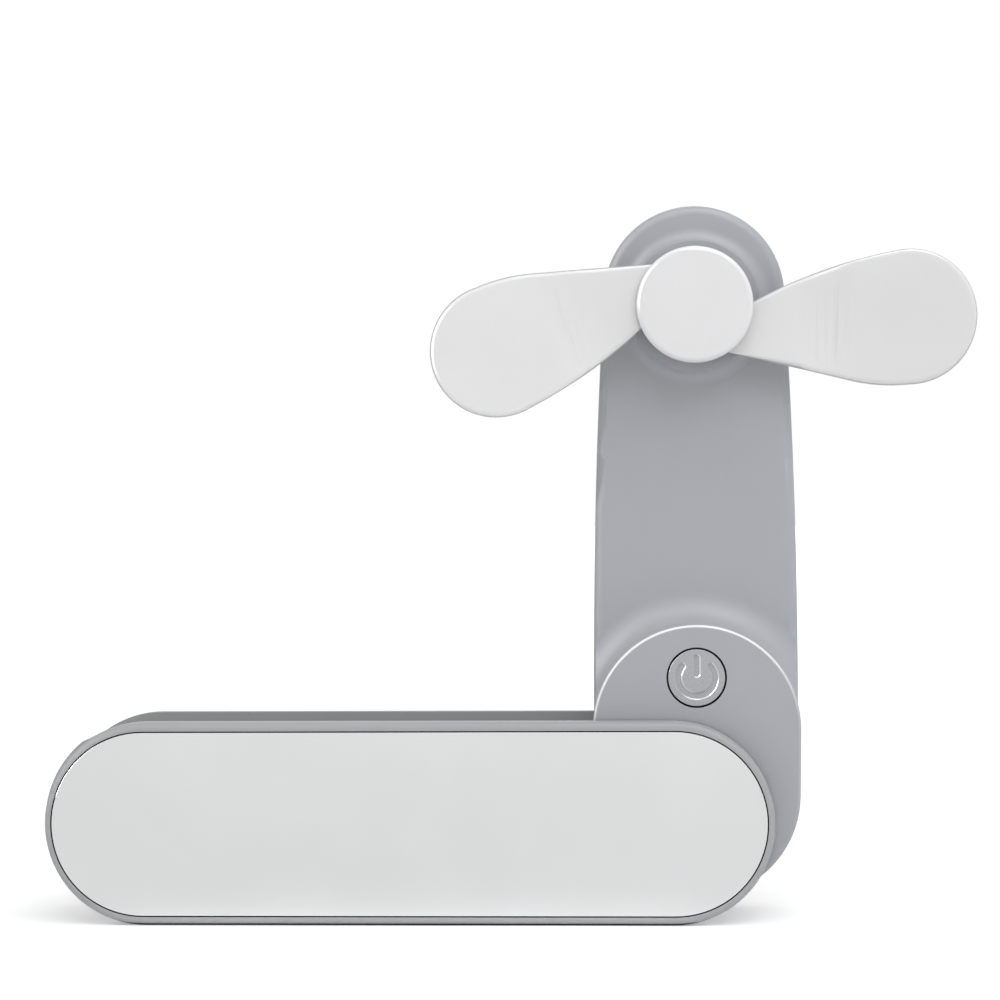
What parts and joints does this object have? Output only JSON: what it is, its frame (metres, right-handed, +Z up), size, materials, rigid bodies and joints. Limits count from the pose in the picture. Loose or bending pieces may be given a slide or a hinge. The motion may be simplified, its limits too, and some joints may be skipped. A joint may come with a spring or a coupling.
{
  "type": "folding pocket fan",
  "caption": "Folding pocket fan: a flat rounded handle with a mirror face, a swinging arm with a power button, and a hub with hinged blades.",
  "frame": {"origin": "bottom centre of the overall box, on the surface that the handle stands on", "axes": "+X along the handle towards the arm, +Y to the rear, away from the mirror, +Z up"},
  "size_m": [0.1544, 0.026, 0.1185],
  "materials": {
    "plate_plastic": "satin",
    "arm_plastic": "satin",
    "button_plastic": "satin",
    "white_plastic": "semi-gloss",
    "hub_plastic": "satin",
    "mirror_glass": "polished",
    "tape": "matte",
    "nylon": "matte",
    "screw_steel": "zinc",
    "pin_steel": "ground",
    "switch_plastic": "matte",
    "board": "solder mask",
    "bright_steel": "plated",
    "pouch": "foil",
    "magnet": "dull",
    "core_steel": "dull",
    "copper": "bright",
    "bronze": "dull",
    "red_sleeve": "matte",
    "black_sleeve": "matte"
  },
  "bodies": {
    "handle": {"front_plate": "plate_plastic", "back_plate": "plate_plastic", "end_wall": "plate_plastic", "mirror": "mirror_glass", "mirror_tape": "tape", "front_plate_screws": "screw_steel", "back_plate_screws": "screw_steel", "pivot_pin": "pin_steel", "front_washer": "nylon", "rear_washer": "nylon"},
    "arm": {"arm_front_shell": "arm_plastic", "arm_rear_shell": "arm_plastic", "arm_screws": "screw_steel", "circuit_board": "board", "board_screws": "screw_steel", "switch_body": "switch_plastic", "charging_port": "bright_steel", "control_chip": "switch_plastic", "battery_cell": "pouch", "battery_tape": "tape", "motor_can": "bright_steel", "motor_end_cap": "nylon", "motor_magnets": "magnet", "motor_brushes": "copper", "front_bush": "bronze", "rear_bush": "bronze", "motor_wire_red": "red_sleeve", "motor_wire_black": "black_sleeve", "battery_wire_red": "red_sleeve", "battery_wire_black": "black_sleeve"},
    "button": {"button_cap": "button_plastic", "switch_plunger": "switch_plastic"},
    "rotor": {"hub_base": "hub_plastic", "hub_cap": "white_plastic", "front_blade_pin": "pin_steel", "rear_blade_pin": "pin_steel", "motor_shaft": "pin_steel", "armature_core": "core_steel", "armature_windings": "copper", "commutator": "copper"},
    "left_blade": {"left_blade": "white_plastic"},
    "right_blade": {"right_blade": "white_plastic"}
  },
  "joints": [
    {"name": "arm_swing", "type": "hinge", "parent": "handle", "child": "arm", "pos_m": [0.03069, 0, 0.01665], "axis": [0, 1, 0], "range_deg": [-90, 90]},
    {"name": "rotor_spin", "type": "hinge", "parent": "arm", "child": "rotor", "pos_m": [0.03069, 0, 0.10155], "axis": [0, 1, 0], "continuous": true},
    {"name": "left_blade_fold", "type": "hinge", "parent": "rotor", "child": "left_blade", "pos_m": [0.02829, 0, 0.10785], "axis": [0, 1, 0], "range_deg": [-72, 18]},
    {"name": "right_blade_fold", "type": "hinge", "parent": "rotor", "child": "right_blade", "pos_m": [0.03309, 0, 0.09525], "axis": [0, -1, 0], "range_deg": [-95, 0]},
    {"name": "button_press", "type": "slide", "parent": "arm", "child": "button", "axis": [0, 1, 0], "range_m": [0, 0.0005], "stiffness_N_per_m": 2000, "springref_m": -0.0002}
  ]
}
